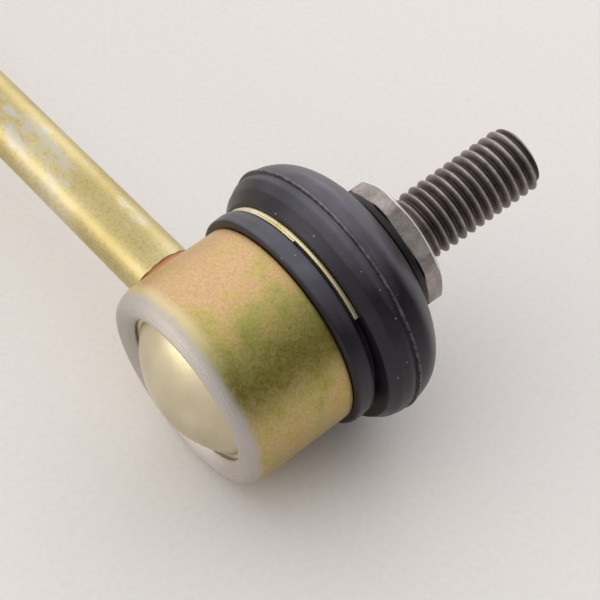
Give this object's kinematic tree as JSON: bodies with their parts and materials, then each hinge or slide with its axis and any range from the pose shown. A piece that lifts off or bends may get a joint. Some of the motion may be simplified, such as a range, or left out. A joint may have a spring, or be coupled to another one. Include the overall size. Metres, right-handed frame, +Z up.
{
  "type": "stabilizer link",
  "caption": "Zinc-plated anti-roll bar link: a straight round rod with a sealed, booted ball joint and a threaded hex-flanged stud at each end.",
  "frame": {"origin": "on the surface it lies on, under the middle of the link's bounding box", "axes": "+X along the rod, towards the near ball joint; +Y the way the studs point; +Z up from the surface it lies on"},
  "size_m": [0.288, 0.0584, 0.0374],
  "materials": {
    "zinc_rod": "bright yellow zinc plating",
    "weld_seam": "heat-tinted, plated over",
    "zinc_housing": "iridescent yellow zinc chromate",
    "zinc_cover": "satin pale zinc",
    "bearing_plastic": "moulded acetal",
    "stud_steel": "bare forged and rolled steel",
    "boot_rubber": "satin moulded rubber",
    "clip_wire": "pale gold spring wire"
  },
  "bodies": {
    "link": {"rod": "zinc_rod", "weld_near": "weld_seam", "housing_near": "zinc_housing", "cover_plate_near": "zinc_cover", "lower_seat_near": "bearing_plastic", "dust_boot_near": "boot_rubber", "boot_clip_near": "clip_wire", "weld_far": "weld_seam", "housing_far": "zinc_housing", "cover_plate_far": "zinc_cover", "lower_seat_far": "bearing_plastic", "dust_boot_far": "boot_rubber", "boot_clip_far": "clip_wire"},
    "bearing_near": {"bearing_ring_near": "bearing_plastic"},
    "neck_near": {"neck_ring_near": "clip_wire", "seal_ring_near": "boot_rubber"},
    "stud_near": {"ball_stud_near": "stud_steel"},
    "bearing_far": {"bearing_ring_far": "bearing_plastic"},
    "neck_far": {"neck_ring_far": "clip_wire", "seal_ring_far": "boot_rubber"},
    "stud_far": {"ball_stud_far": "stud_steel"}
  },
  "joints": [
    {"name": "swing_near", "type": "hinge", "parent": "link", "child": "bearing_near", "pos_m": [0.125, -0.01626, 0.01619], "axis": [1, 0, 0], "range_deg": [-26, 10], "deforming": ["dust_boot_near"]},
    {"name": "splay_near", "type": "hinge", "parent": "bearing_near", "child": "neck_near", "pos_m": [0.125, -0.01626, 0.01619], "axis": [0, 0.3093, -0.951], "range_deg": [-23, 13]},
    {"name": "spin_near", "type": "hinge", "parent": "neck_near", "child": "stud_near", "pos_m": [0.125, -0.01626, 0.01619], "axis": [0.0872, 0.9474, 0.3081], "continuous": true},
    {"name": "swing_far", "type": "hinge", "parent": "link", "child": "bearing_far", "pos_m": [-0.125, -0.01626, 0.01619], "axis": [1, 0, 0], "range_deg": [-26, 10], "deforming": ["dust_boot_far"]},
    {"name": "splay_far", "type": "hinge", "parent": "bearing_far", "child": "neck_far", "pos_m": [-0.125, -0.01626, 0.01619], "axis": [0, -0.3093, 0.951], "range_deg": [-23, 13]},
    {"name": "spin_far", "type": "hinge", "parent": "neck_far", "child": "stud_far", "pos_m": [-0.125, -0.01626, 0.01619], "axis": [-0.0872, 0.9474, 0.3081], "continuous": true}
  ]
}
